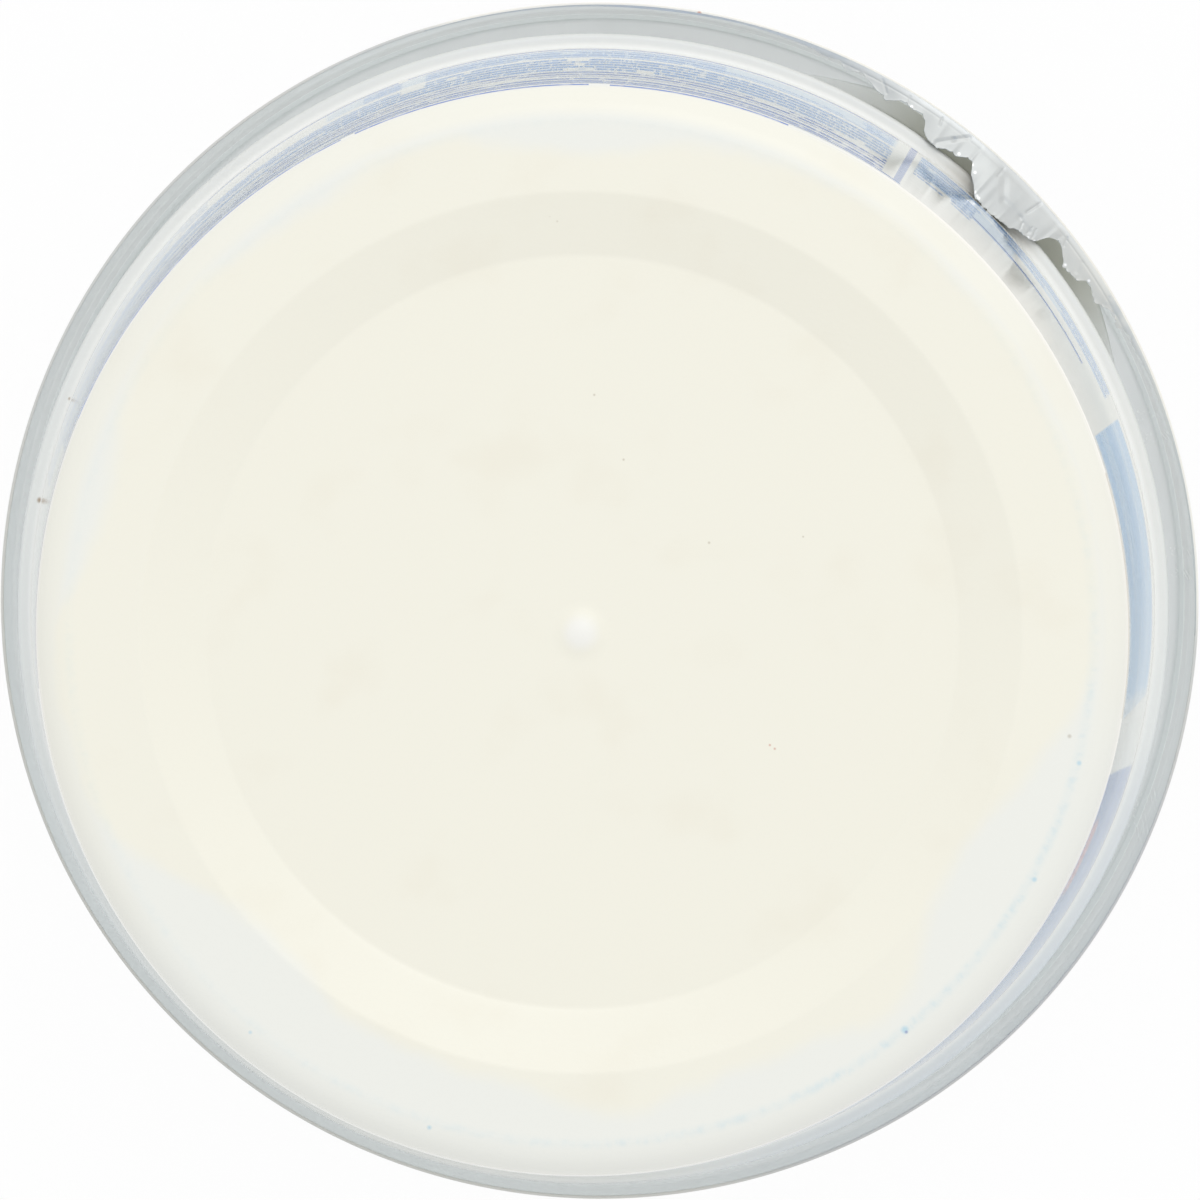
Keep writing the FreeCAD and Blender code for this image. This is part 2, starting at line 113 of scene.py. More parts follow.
# %% Wires
class Wire:
    """One output socket in a material's node tree."""

    def __init__(self, tree, socket=None):
        self.tree, self.socket = tree, socket

    def node(self, kind, settings=None, inputs=None, out=0):
        """Adds one node: first its settings, then a value or a wire for each socket named."""
        made = self.tree.nodes.new(kind)
        settings = dict(settings or {})
        stops = settings.pop("stops", None)
        for name, value in settings.items():
            setattr(made, name, value)
        if stops:
            self.set_stops(made.color_ramp, stops)
        for name, value in (inputs or {}).items():
            self.feed(made.inputs[name], value)
        return Wire(self.tree, made.outputs[out])

    def feed(self, port, value):
        if isinstance(value, Wire):
            self.tree.links.new(value.socket, port)
        else:
            port.default_value = value

    def set_stops(self, ramp, stops):
        """Fills a ramp with (place, level) stops, joined by a smooth line."""
        ramp.interpolation = "CARDINAL"
        ramp.elements.remove(ramp.elements[1])
        ramp.elements[0].position = stops[0][0]
        added = [ramp.elements[0]] + [ramp.elements.new(place) for place, _ in stops[1:]]
        for element, (_, level) in zip(added, stops):
            element.color = (level, level, level, 1)

    def split(self):
        """The three numbers of a vector."""
        made = self.tree.nodes.new("ShaderNodeSeparateXYZ")
        self.feed(made.inputs[0], self)
        return [Wire(self.tree, port) for port in made.outputs]

    def joined(self, x, y, z=0.0):
        """A vector of three numbers or wires."""
        return self.node("ShaderNodeCombineXYZ", None, {0: x, 1: y, 2: z})

    def noise(self, scale, detail=2.0, rough=0.5):
        """Soft random spots over this vector, from 0 to 1."""
        inputs = {"Vector": self, "Scale": scale, "Detail": detail, "Roughness": rough}
        return self.node("ShaderNodeTexNoise", None, inputs)

    def distance_to(self, point):
        """How far this vector lies from a point."""
        settings = {"operation": "DISTANCE"}
        return self.node("ShaderNodeVectorMath", settings, {0: self, 1: point}, out=1)

    def maths(self, operation, *values):
        return self.node("ShaderNodeMath", {"operation": operation}, dict(enumerate(values)))

    def __add__(self, other):
        return self.maths("ADD", self, other)

    def __sub__(self, other):
        return self.maths("SUBTRACT", self, other)

    def __rsub__(self, other):
        return self.maths("SUBTRACT", other, self)

    def __mul__(self, other):
        return self.maths("MULTIPLY", self, other)

    def __truediv__(self, other):
        return self.maths("DIVIDE", self, other)

    __radd__ = __add__
    __rmul__ = __mul__

    def step(self, low, high):
        """0 below low, 1 above high, and a smooth step between."""
        return self.node(
            "ShaderNodeMapRange",
            {"interpolation_type": "SMOOTHSTEP"},
            {"Value": self, "From Min": low, "From Max": high},
        )

    def within(self, low, high, soft):
        """1 between low and high, 0 outside, with soft edges of that width."""
        return self.step(low - soft, low + soft) * (1 - self.step(high - soft, high + soft))

    def clamp(self):
        return self.node("ShaderNodeClamp", None, {"Value": self})


print("shader wires ready")


# %% Colours and mixing
def srgb(red, green, blue):
    """A colour written in display steps 0 to 255, as the linear values that nodes take."""
    steps = np.array([red, green, blue]) / 255
    linear = np.where(steps <= 0.04045, steps / 12.92, ((steps + 0.055) / 1.055) ** 2.4)
    return tuple(float(v) for v in linear) + (1.0,)


def mixed(amount, first, second):
    """Colour first where amount is 0, second where it is 1."""
    inputs = {0: amount, 6: first, 7: second}
    return amount.node("ShaderNodeMix", {"data_type": "RGBA"}, inputs, out=2)


def material(name):
    """An empty material, a wire to start sums from, and its output node."""
    made = bpy.data.materials.new(name)
    made.use_nodes = True
    made.node_tree.nodes.clear()
    output = made.node_tree.nodes.new("ShaderNodeOutputMaterial")
    return made, Wire(made.node_tree), output


print("white is", srgb(255, 255, 255))

# %% [markdown]
# ## Stage
#
# A plain white floor under soft light. To the camera and in reflections the
# floor and the world are white by themselves, so the light on the pack can
# stay at the plain level at which a colour looks as it is written. The floor
# keeps a little of its real shading, which leaves room for the pack's shadow.

# %% Floor and world
FLOOR_HALF = 3.0
FLOOR_WHITENESS = 0.95
WORLD_LIGHT = 0.84
PLAIN_WHITE = (1, 1, 1, 1)


def seen_directly(wire):
    """1 for rays from the camera, in a mirror or through glass."""
    path = wire.tree.nodes.new("ShaderNodeLightPath")
    names = ("Is Camera Ray", "Is Glossy Ray", "Is Transmission Ray")
    rays = [Wire(wire.tree, path.outputs[name]) for name in names]
    return (rays[0] + rays[1] + rays[2]).clamp()


floor_material, wire, output = material("floor_white")
shaded = wire.node("ShaderNodeBsdfDiffuse", None, {"Color": srgb(250, 250, 250)})
white = wire.node("ShaderNodeEmission", None, {"Color": PLAIN_WHITE, "Strength": 1.0})
white_share = seen_directly(wire) * FLOOR_WHITENESS
shader = wire.node("ShaderNodeMixShader", None, {0: white_share, 1: shaded, 2: white})
wire.feed(output.inputs["Surface"], shader)

floor_mesh = bpy.data.meshes.new("floor")
signs = [(-1, -1), (1, -1), (1, 1), (-1, 1)]
corners = [(x * FLOOR_HALF, y * FLOOR_HALF, 0) for x, y in signs]
floor_mesh.from_pydata(corners, [], [(0, 1, 2, 3)])
floor_mesh.materials.append(floor_material)
floor = bpy.data.objects.new("floor", floor_mesh)
bpy.context.scene.collection.objects.link(floor)
floor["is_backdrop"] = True

world = bpy.data.worlds.new("studio")
world.use_nodes = True
bpy.context.scene.world = world
wire = Wire(world.node_tree)
world.node_tree.nodes.clear()
world_output = world.node_tree.nodes.new("ShaderNodeOutputWorld")
strength = WORLD_LIGHT + seen_directly(wire) * (1 - WORLD_LIGHT)
sky = wire.node("ShaderNodeBackground", None, {"Color": PLAIN_WHITE, "Strength": strength})
wire.feed(world_output.inputs["Surface"], sky)


# %% Lamp
def lamp(name, place, size, power):
    """A square soft lamp that looks at the pack."""
    data = bpy.data.lights.new(name, "AREA")
    data.shape, data.size, data.energy = "SQUARE", size, power
    made = bpy.data.objects.new(name, data)
    made.location = place
    made.rotation_euler = (Vector(place) - CAMERA_AIM).to_track_quat("Z", "Y").to_euler()
    bpy.context.scene.collection.objects.link(made)


lamp("key_lamp", (0.3, 0.95, 1.15), 0.9, 4.8)
print("floor, world and lamp ready")

# %% [markdown]
# ## Turned surfaces
#
# Every moulded piece is a profile turned about an axis. The profile is a short
# list of corners, each with the radius that rounds it, and the turning is one
# array sum. The two ends of the profile lie on the axis, so the skin is closed.

# %% Rounded profiles
SEGMENTS, HIDDEN_SEGMENTS = 384, 192
GUARD_SHARE, GUARD_MOST = 0.3, 0.04


def rounded(corners, steps=5):
    """A profile through the corners (r, z, radius), with arcs at corners.

    An arc of radius q at a corner with turn t starts q tan(t / 2) before the corner. Its
    points are centre + q (cos, sin) at even angles. A guard point just outside each end,
    a share of q away and at most GUARD_MOST mm, keeps the flats flat when shaded smoothly.
    """
    points = [np.array(corners[0][:2], float)]
    for before, here, after in zip(corners, corners[1:], corners[2:]):
        p = np.array(here[:2], float)
        into = p - np.array(before[:2], float)
        out = np.array(after[:2], float) - p
        into, out = into / np.linalg.norm(into), out / np.linalg.norm(out)
        turn = math.acos(max(-1.0, min(1.0, float(into @ out))))
        if here[2] == 0 or turn < 1e-3:
            points.append(p)
            continue
        reach, guard = here[2] * math.tan(turn / 2), min(GUARD_MOST, GUARD_SHARE * here[2])
        side = math.copysign(1, into[0] * out[1] - into[1] * out[0])
        normal = side * np.array([-into[1], into[0]])
        centre = p - into * reach + normal * here[2]
        angles = np.linspace(0, turn, steps + 1)[:, None]
        arc = centre - here[2] * (np.cos(angles) * normal - np.sin(angles) * into)
        points += [p - into * (reach + guard), *arc, p + out * (reach + guard)]
    points.append(np.array(corners[-1][:2], float))
    return np.array(points)


def filled_in(profile, longest):
    """The same profile with points added so that no run is longer than longest."""
    pieces = [
        np.linspace(a, b, max(1, math.ceil(np.linalg.norm(b - a) / longest)), endpoint=False)
        for a, b in zip(profile, profile[1:])
    ]
    return np.vstack(pieces + [profile[-1:]])


# %% Turning a profile
def ring_faces(rings, segments):
    """Quads between neighbouring rings: (i, j), (i + 1, j), (i + 1, j + 1), (i, j + 1)."""
    i, j = np.meshgrid(np.arange(rings - 1), np.arange(segments), indexing="ij")
    k = (j + 1) % segments
    here, after = i * segments, (i + 1) * segments
    return np.stack([here + j, after + j, after + k, here + k], axis=-1).reshape(-1, 4)


def turned(profile, centre=(0, 0), segments=SEGMENTS):
    """Point (i, j) is centre + (r_i cos a_j, r_i sin a_j, z_i), with a_j = 2 pi j / segments.

    The two ends of the profile are single points, the poles.
    """
    r, z = profile[1:-1].T
    turn = 2 * np.pi * np.arange(segments) / segments
    x, y = np.outer(r, np.cos(turn)), np.outer(r, np.sin(turn))
    rings = np.stack([x, y, np.broadcast_to(z[:, None], x.shape)], axis=-1).reshape(-1, 3)
    poles = np.array([[0, 0, profile[0, 1]], [0, 0, profile[-1, 1]]])
    points = np.vstack([rings, poles]) + np.array([centre[0], centre[1], 0])
    last, top, bottom = (len(r) - 1) * segments, len(rings), len(rings) + 1
    j = np.arange(segments)
    k = (j + 1) % segments
    start = np.stack([np.full(segments, top), j, k], axis=-1)
    end = np.stack([last + j, np.full(segments, bottom), last + k], axis=-1)
    faces = ring_faces(len(r), segments).tolist() + start.tolist() + end.tolist()
    return points, faces


def skin(name, points, faces, finish, node, slot):
    """A smooth mesh piece from points in mm, which rides on the pack and stands for a CAD node."""
    mesh = bpy.data.meshes.new(name)
    mesh.from_pydata((np.asarray(points) * MM).tolist(), [], faces)
    mesh.shade_smooth()
    mesh.materials.append(finish)
    mesh.validate()
    piece = bpy.data.objects.new(name, mesh)
    bpy.context.scene.collection.objects.link(piece)
    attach(piece, "root")
    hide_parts(node)
    triangles = sum(len(p.vertices) - 2 for p in mesh.polygons)
    print(name, len(mesh.vertices), "points", triangles, "triangles")
    return piece


# %% Tub shape
GATE_RADIUS, GATE_HEIGHT = 2.6, 0.5
WALL_TOP, WALL_FOOT = 48.8, 44.6
SHOULDER_Z, FLOOR_Z, BASE_Z = 12.8, 46.0, 47.8

gate_r = np.linspace(0, GATE_RADIUS, 12)
gate_z = FLOOR_Z + GATE_HEIGHT * (1 + np.cos(np.pi * gate_r / GATE_RADIUS)) / 2
gate_arc = np.stack([gate_r, gate_z], axis=-1)
tub_outside = rounded([
    (GATE_RADIUS + 0.15, FLOOR_Z, 0), (30.9, FLOOR_Z, 1.2), (36.1, BASE_Z, 1.2),
    (WALL_FOOT, BASE_Z, 3.0), (WALL_TOP, SHOULDER_Z, 0.5), (50.0, SHOULDER_Z, 0.4),
    (50.0, 2.0, 0.05), (50.2, 2.0, 0.06), (50.2, 0.8, 0.18), (48.75, 0.8, 0.18),
    (48.67, 12.0, 0.2), (48.0, 12.0, 0.15), (43.8, 46.9, 2.2), (36.35, 46.9, 1.0),
    (31.15, 45.1, 1.0), (0, 45.1, 0),
])
tub_profile = filled_in(np.vstack([gate_arc, tub_outside]), 1.2)
print("tub profile", len(tub_profile), "points")

# %% [markdown]
# ## Where a point of the cup lies
#
# The cup stands a little off the lid's axis, so its patterns are worked out
# from its own axis: a distance from it, an angle round it and a height.


# %% Places on a piece
def around(wire, axis):
    """Vector in mm from an axis, its distance, its angle (-180 to 180 degrees), the height."""
    where = wire.node("ShaderNodeTexCoord", out=3)
    inputs = {"Vector": where, "Location": (-axis[0], -axis[1], 0), "Scale": (1 / MM,) * 3}
    from_axis = wire.node("ShaderNodeMapping", None, inputs)
    x, y, z = from_axis.split()
    distance = x.maths("SQRT", x * x + y * y)
    return from_axis, distance, x.maths("ARCTAN2", y, x) * math.degrees(1), z


def ramp(wire, degrees, stops):
    """A level for each angle, from (degrees, level) stops that run from -180 to 180."""
    places = [((angle + 180) / 360, level) for angle, level in stops]
    return wire.node("ShaderNodeValToRGB", {"stops": places}, {0: (degrees + 180) / 360})


# %% [markdown]
# ## Cheese behind the base
#
# The base is thin enough to show what touches it. Where cheese lies against it
# the white turns cream, and where a pocket of air lies between them it stays
# a cold white. The edge of the touch is a wandering line, given here by radii at
# chosen angles and roughened by noise.

# %% Cream and cold white
CREAM = srgb(244, 242, 229)
COLD_WHITE = srgb(240, 241, 235)
RADIUS_SCALE = 50
TOUCH = [
    (-180, 43.0), (-168, 43.0), (-155, 41.0), (-142, 35.8), (-120, 36.6), (-95, 37.6), (-86, 39.5),
    (-76, 38.2), (-60, 38.2), (-50, 39.9), (-42, 37.6), (-34, 35.7), (-22, 36.5), (-13, 39.4),
    (-4, 41.9), (30, 42.3), (60, 42.0), (78, 40.6), (88, 38.9), (98, 40.3), (108, 42.0),
    (125, 40.6), (140, 42.4), (158, 41.0), (168, 40.2), (176, 42.0), (180, 43.0),
]
TOUCH_AGAIN = [
    (-180, 0.55), (-160, 0.4), (-140, 0.0), (-20, 0.0), (0, 0.5), (60, 0.75), (120, 0.6),
    (180, 0.55),
]


def touch_of_cheese(where, distance, degrees):
    """1 where cheese touches the base, 0 over a pocket of air.

    The ramp holds radii as shares of RADIUS_SCALE mm. Past the outer ring the cheese
    half touches again, by an amount for each angle.
    """
    shares = [(angle, radius / RADIUS_SCALE) for angle, radius in TOUCH]
    edge = ramp(distance, degrees, shares) * RADIUS_SCALE
    wander = (where.noise(0.22, 3.0) - 0.5) * 2.4
    inside = 1 - (distance + wander - edge).step(-0.8, 1.2)
    again = ramp(distance, degrees, TOUCH_AGAIN)
    outside = distance.step(42.0, 43.2) * again
    return inside.maths("MAXIMUM", inside, outside)


# %% [markdown]
# ## Print on the wall
#
# The wall carries only plain blocks: a pale blue field, a violet one, and rows
# of fine dashes where a pack has its small print. A row is a band of height,
# and noise that is stretched along the row and differs from row to row cuts it
# into dashes. Thin bare lines are left between some of the rows, which keeps
# the print crisp when the wall is seen at a slant.

# %% Inks and rows
PALE_BLUE = srgb(130, 184, 232)
LINE_BLUE = srgb(62, 134, 206)
DARK_LINE = srgb(48, 100, 184)
VIOLET = srgb(66, 114, 190)
LEFT_BLUE = srgb(84, 142, 206)
RED = srgb(220, 112, 120)
ROW_PITCH, FINE_PITCH = 2.1, 1.9


def rows_of_dashes(degrees, height, pitch, share):
    """Ink from 0 to 1 in rows of that pitch in mm, each inked over a share of the pitch.

    Noise that is stretched along a row makes it paler and darker and cuts gaps in it.
    """
    lines = height / pitch
    row = lines.maths("FLOOR", lines)
    inked = (lines - row).within(0.5 - share / 2, 0.5 + share / 2, 0.06)
    letters = degrees.joined(degrees * 2.3, row * 3.7).noise(1.0, 1.0).step(0.34, 0.46)
    words = degrees.joined(degrees * 0.17, row * 5.3).noise(1.0, 1.0).step(0.34, 0.37)
    return inked * (0.4 + 0.6 * letters) * words


def block(degrees, height, left, right, low, high, soft=0.15):
    """1 inside a block of the wall between two angles and two heights."""
    return degrees.within(left, right, soft) * height.within(low, high, soft)


def blocks(degrees, height, places, soft=0.15):
    """1 inside any of the blocks (left, right, low, high)."""
    total = 0
    for left, right, low, high in places:
        total = total + block(degrees, height, left, right, low, high, soft)
    return total.clamp()


# %% Print
SMALL_PRINT = [
    (23, 54, 14.6, 21.4), (46.4, 54, 21.4, 31), (57.3, 61, 15.8, 22), (76, 107, 15.8, 22),
    (109.6, 113.8, 15.8, 22), (57, 107, 23, 27), (109.6, 161, 24, 27), (57, 161, 27, 34),
]
UNDER_PRINT = [(23, 54, 15, 21.4), (40.5, 54, 21.4, 28), (57, 118, 15.6, 21.6)]
PALE_PRINT = [(61, 76, 19.5, 22), (133, 161, 14.2, 22), (161, 166, 16, 32)]
FINE_LINES = [(57, 161, 34, 44)]
THIN_RULES = [
    (57, 109, 14.2, 15.0), (110, 133, 14.2, 15.2), (27.5, 46.4, 26.2, 27.4),
    (54.6, 118, 43.6, 44.3),
]
CORNER_RULES = [(67.8, 87, 45.2, 45.62), (89.2, 114.4, 45.2, 45.62), (116, 157, 45.15, 45.5)]
BARE_RULES = [
    (57, 166, 22.2, 23.2), (57, 161, 38.8, 39.6), (23, 54, 18.6, 19.1), (118, 161, 30.0, 31.2),
    (125, 158, 34.6, 35.6),
]
PRINT_FOOT = 17
START_LEAN, EDGE_LEAN = 0.037, 0.02


def printed(degrees, height, bare):
    """The wall's colour with its print, laid on field by field.

    The ends of the two fields lean: they move by so many degrees for each mm above
    PRINT_FOOT.
    """
    grain = degrees.joined(degrees * 0.05, height * 1.5).noise(1.0, 2.0)
    streaks = degrees.joined(degrees * 0.03, height * 0.42, 7).noise(1.0, 2.0).step(0.3, 0.7)
    start = (height - PRINT_FOOT) * START_LEAN
    leaning = degrees - (height - PRINT_FOOT) * EDGE_LEAN
    ragged = 0.5 + 0.5 * (degrees + grain * 3).step(-6.4, -5.2)
    field = (degrees + start).step(-8.4, -8.0) * ragged
    field = field * (1 - leaning.step(20.2, 20.5)) * height.within(16.8, 43.6, 0.3)
    colour = mixed(field * (0.58 + 0.35 * streaks + 0.35 * grain).clamp(), bare, PALE_BLUE)
    violet = leaning.within(-75, -15.6, 0.2) * height.within(14.5, 45.2, 0.4)
    thinning = 0.35 * (1 - degrees.step(-62, -36)) * (1 - height.step(24, 40))
    violet = violet * degrees.step(-90, -64) * (0.8 + 0.3 * streaks - thinning)
    colour = mixed(violet.clamp(), colour, VIOLET)
    streak = block(degrees, height, -28.6, -20.4, 38.6, 44.6, 0.8)
    colour = mixed(streak * (0.5 + 0.8 * grain).clamp(), colour, RED)
    under_print = blocks(degrees, height, UNDER_PRINT, 0.3)
    colour = mixed(under_print * (0.24 + 0.38 * grain), colour, PALE_BLUE)
    small_print = rows_of_dashes(degrees, height, ROW_PITCH, 0.74)
    amount = blocks(degrees, height, SMALL_PRINT) * (0.76 + 0.24 * degrees.step(56, 88))
    amount = (amount + blocks(degrees, height, PALE_PRINT) * 0.62).clamp()
    patchy = (0.66 + 0.35 * grain + 0.35 * streaks).clamp()
    colour = mixed(small_print * amount * patchy, colour, LINE_BLUE)
    left_side = degrees.step(104, 140) * block(degrees, height, 104, 161, 24, 45)
    colour = mixed(left_side * (0.16 + 0.4 * streaks), colour, LEFT_BLUE)
    fine = rows_of_dashes(degrees * 0.4 + 40, height, FINE_PITCH, 0.6)
    fine = fine * blocks(degrees, height, FINE_LINES) * (0.8 + 0.3 * streaks)
    border = block(degrees, height, 54.7, 55.5, 13.5, 44, 0.08)
    rules = blocks(degrees, height, THIN_RULES, 0.08)
    colour = mixed((fine + border * 0.7 + rules).clamp(), colour, DARK_LINE)
    return mixed(blocks(degrees, height, BARE_RULES, 0.1) * 0.85, colour, bare)


print("print ready")

# %% [markdown]
# ## Small marks
#
# A used pack is never clean. A few specks of dirt and spots of ink lie where
# they were left, each a small soft disc of colour.

# %% Specks
GREY_BROWN = srgb(170, 158, 138)
RUST = srgb(206, 140, 120)
INK_BLUE = srgb(150, 205, 230)
INK_DARK = srgb(104, 112, 178)
SPECKS = [
    (GREY_BROWN, 0.45, [
        (4.6, 43.5, BASE_Z, 0.28), (1.1, 19.5, FLOOR_Z, 0.12), (3.5, 14.2, FLOOR_Z, 0.12),
        (10.5, 7.4, FLOOR_Z, 0.13), (18.2, 7.9, FLOOR_Z, 0.1), (-2.5, 34.1, 47, 0.14),
        (-1.9, 33.7, 46.9, 0.13), (39.95, -8.3, BASE_Z, 0.2),
    ]),
    (GREY_BROWN, 0.8, [(15.4, -40.8, 47.5, 0.16)]),
    (RUST, 0.6, [
        (32.0, 14.4, 46.4, 0.16), (32.3, 14.3, 46.4, 0.1), (26.9, 22.6, 46.3, 0.16),
        (15.5, -9.2, FLOOR_Z, 0.12), (15.9, -9.5, FLOOR_Z, 0.12), (30.1, -30.6, BASE_Z, 0.14),
    ]),
    (INK_BLUE, 0.5, [
        (40.75, -10.5, BASE_Z, 0.24), (37.15, -20.05, BASE_Z, 0.24), (26.6, -32.4, BASE_Z, 0.36),
        (-12.4, -40.6, BASE_Z, 0.24), (-27.1, -32.8, BASE_Z, 0.2),
    ]),
    (INK_DARK, 0.6, [
        (36.6, -23.9, BASE_Z, 0.14), (26.7, -32.6, BASE_Z, 0.16), (-33.3, 29.8, 46.6, 0.12),
        (-12.4, -40.6, BASE_Z, 0.08),
    ]),
]


def specked(where, colour, groups):
    """The colour with soft discs laid on it: 1 at a speck's middle, 0 at its radius."""
    for tint, strength, places in groups:
        spots = 0
        for x, y, z, radius in places:
            spots = spots + (1 - where.distance_to((x, y, z)).step(radius * 0.2, radius * 1.3))
        colour = mixed(spots.clamp() * strength, colour, tint)
    return colour


print(sum(len(places) for _, _, places in SPECKS), "specks")

# %% [markdown]
# ## Finish of the cup
#
# One plastic, three regions by distance and height: the base with the cheese
# behind it, the printed wall, and the shoulder with the collar below it. The wall
# is glossier than the base, which is why it mirrors the foil beside it.

# %% Tub finish
WALL_WHITE = srgb(236, 237, 231)
WALL_WARM = srgb(250, 247, 238)
EDGE_SHADE_GREY, EDGE_LINE_TAN = srgb(150, 152, 160), srgb(214, 207, 190)
# painted shade: a grey line along the base's edge on the left, where its rounded corner hides the
# wall
LEFT_EDGE_SHADE = [(157, 181, 45.15, 45.45), (-181, -174, 45.15, 45.45)]
# a thin tan line along the base's edge on the right
RIGHT_EDGE_LINE = [(-9, 17, 45.1, 45.5)]
DIRT_PLACES = [(-47.95, 9.6, SHOULDER_Z, 0.3), (-45.3, 18.4, SHOULDER_Z, 0.2)]
DIRT = [(srgb(150, 124, 90), 0.9, DIRT_PLACES)]
FILM_SHADOW_TINT = srgb(176, 170, 156)
SHOULDER_WHITE = srgb(233, 234, 230)
SHOULDER_PAINTED_LIGHT = srgb(231, 238, 241)
TAN = srgb(238, 233, 217)
RING_RADIUS = 41.9
WALL_START = (42.5, 43.5)
PLASTIC_IOR = 1.49
# levels (degrees, amount) round the axis, for the dots, the wall, and the painted light and
# painted film shadow on the shoulder
MORE_BELOW = [
    (-180, 0.25), (-120, 0.3), (-75, 0.6), (-45, 1.0), (-25, 0.9), (0, 0.4), (40, 0.12),
    (120, 0.15), (180, 0.15),
]
WARM_SIDE = [
    (-180, 0.5), (-150, 0.2), (-30, 0.1), (-8, 0.8), (15, 1.0), (50, 1.0), (62, 0.2), (80, 0.0),
    (180, 0.3),
]
SHOULDER_LIGHT_ARC = [
    (-180, 0.6), (-150, 0.7), (-115, 0.3), (-85, 0.4), (-60, 1.0), (-30, 0.9), (0, 0.3), (30, 0.1),
    (90, 0.1), (150, 0.2), (180, 0.6),
]
FILM_SHADOW_ARC = [
    (-180, 0), (36, 0), (38.6, 0), (40, 0.35), (43, 0.5), (48, 0.6), (49.6, 0.6), (51.5, 0.25),
    (54, 0), (57, 0), (180, 0),
]

tub_finish, wire, output = material("white_tub_plastic")
where, distance, degrees, height = around(wire, TUB_AXIS)
touch = touch_of_cheese(where, distance, degrees)
blotches = where.noise(0.11, 3.0).step(0.52, 0.75)
base_colour = mixed(touch * blotches * 0.35, mixed(touch, COLD_WHITE, CREAM), TAN)
dots = degrees.joined(degrees * 0.9, distance * 0.8).noise(1.0, 2.0).step(0.38, 0.8)
more_below = ramp(distance, degrees, MORE_BELOW)
on_ring = distance.within(RING_RADIUS - 0.2, RING_RADIUS + 0.2, 0.5)
dot_ring = on_ring * (0.25 + 0.75 * dots) * more_below
base_colour = mixed(dot_ring * 0.55, base_colour, INK_BLUE)
# the gate's middle is whiter: its own colour, and painted light that softens the shading of its
# dome
base_colour = mixed((1 - distance.step(0.6, 1.9)) * 0.7, base_colour, srgb(246, 246, 244))
base_colour = specked(where, base_colour, SPECKS)
warm = ramp(distance, degrees, WARM_SIDE)
warm = warm.clamp() * height.step(26, 42)
wall_colour = printed(degrees, height, mixed(warm, WALL_WHITE, WALL_WARM))
wall_colour = mixed(blocks(degrees, height, LEFT_EDGE_SHADE, 0.1), wall_colour, EDGE_SHADE_GREY)
wall_colour = mixed(blocks(degrees, height, RIGHT_EDGE_LINE, 0.1), wall_colour, EDGE_LINE_TAN)
on_wall = 1 - height.step(45.4, 46.4)
past_base = distance.step(*WALL_START)
colour = mixed(on_wall * past_base, base_colour, wall_colour)
broken = degrees.joined(degrees * 0.8, height).noise(1.0, 2.0).step(0.25, 0.6)
corner_rules = blocks(degrees, height, CORNER_RULES, 0.05) * past_base
colour = mixed(corner_rules * (0.6 + 0.4 * broken), colour, DARK_LINE)
# painted light: the sides of the shoulder that lie in the wall's shade are painted lighter and
# bluer
shoulder_light = ramp(distance, degrees, SHOULDER_LIGHT_ARC)
colour = mixed(1 - height.step(12.7, 13.3), colour, mixed(shoulder_light, SHOULDER_WHITE, SHOULDER_PAINTED_LIGHT))
skin_grain = wire.node("ShaderNodeBump", None, {
    "Height": where.noise(2.2, 3.0), "Strength": 0.12, "Distance": 0.1 * MM,
})
# painted shadow and painted reflection of the foil film on the shoulder beside it
film_shadow = ramp(distance, degrees, FILM_SHADOW_ARC)
colour = mixed(film_shadow.clamp() * (1 - height.step(12.9, 14.5)), colour, FILM_SHADOW_TINT)
# painted light: the rounded foot of the wall is lightened against its own shade
colour = mixed(height.within(12.85, 13.6, 0.15) * 0.6, colour, srgb(252, 253, 252))
colour = specked(where, colour, DIRT)
gloss = on_wall * height.step(13.4, 15.0)
shader = wire.node("ShaderNodeBsdfPrincipled", None, {
    "Base Color": colour, "Roughness": 0.42 - 0.4 * gloss,
    "IOR": PLASTIC_IOR, "Normal": skin_grain,
})
wire.feed(output.inputs["Surface"], shader)

skin("white_tub", *turned(tub_profile, TUB_AXIS), tub_finish, "tub", "tub_plastic")

# %% [markdown]
# ## Lid
#
# The lid is thin, clouded plastic. Light passes through its skirt into the
# narrow gap round the cup and makes the gap a soft grey, so part of its shader
# is translucent.

# %% Lid
lid_profile = filled_in(rounded([
    (0, 2.4, 0), (46.19, 2.4, 0.3), (46.59, 0.6, 0.3), (51.25, 0.6, 0.6), (51.26, 2.1, 0.1),
    (50.92, 2.7, 0.17), (51.28, 3.3, 0.1), (51.74, 12.6, 0.08), (52.0, 12.6, 0.08),
    (51.85, 0, 1.0), (45.99, 0, 0.4), (45.59, 1.8, 0.4), (0, 1.8, 0),
]), 1.5)
LID_SPECKS = [
    (RUST, 0.9, [(8.72, 51.03, 12.6, 0.22)]),
    (GREY_BROWN, 0.7, [(-18.52, 48.07, 8.5, 0.3)]),
]
SCUFFS = [(-24, -19), (-48.9, -48.3), (2.0, 2.9), (4.2, 5.2), (15.8, 16.8), (18.2, 19.2)]
# levels (degrees, share of light let through) round the skirt, set by angle to even out its shade:
# painted light
EVENNESS = [
    (-180, 0.58), (-165, 0.6), (-148, 0.6), (-130, 0.6), (-118, 0.57), (-88, 0.48), (-60, 0.44),
    (-20, 0.52), (2, 0.48), (20, 0.49), (36, 0.5), (54, 0.5), (62, 0.44), (75, 0.36), (92, 0.38),
    (122, 0.47), (152, 0.5), (180, 0.58),
]

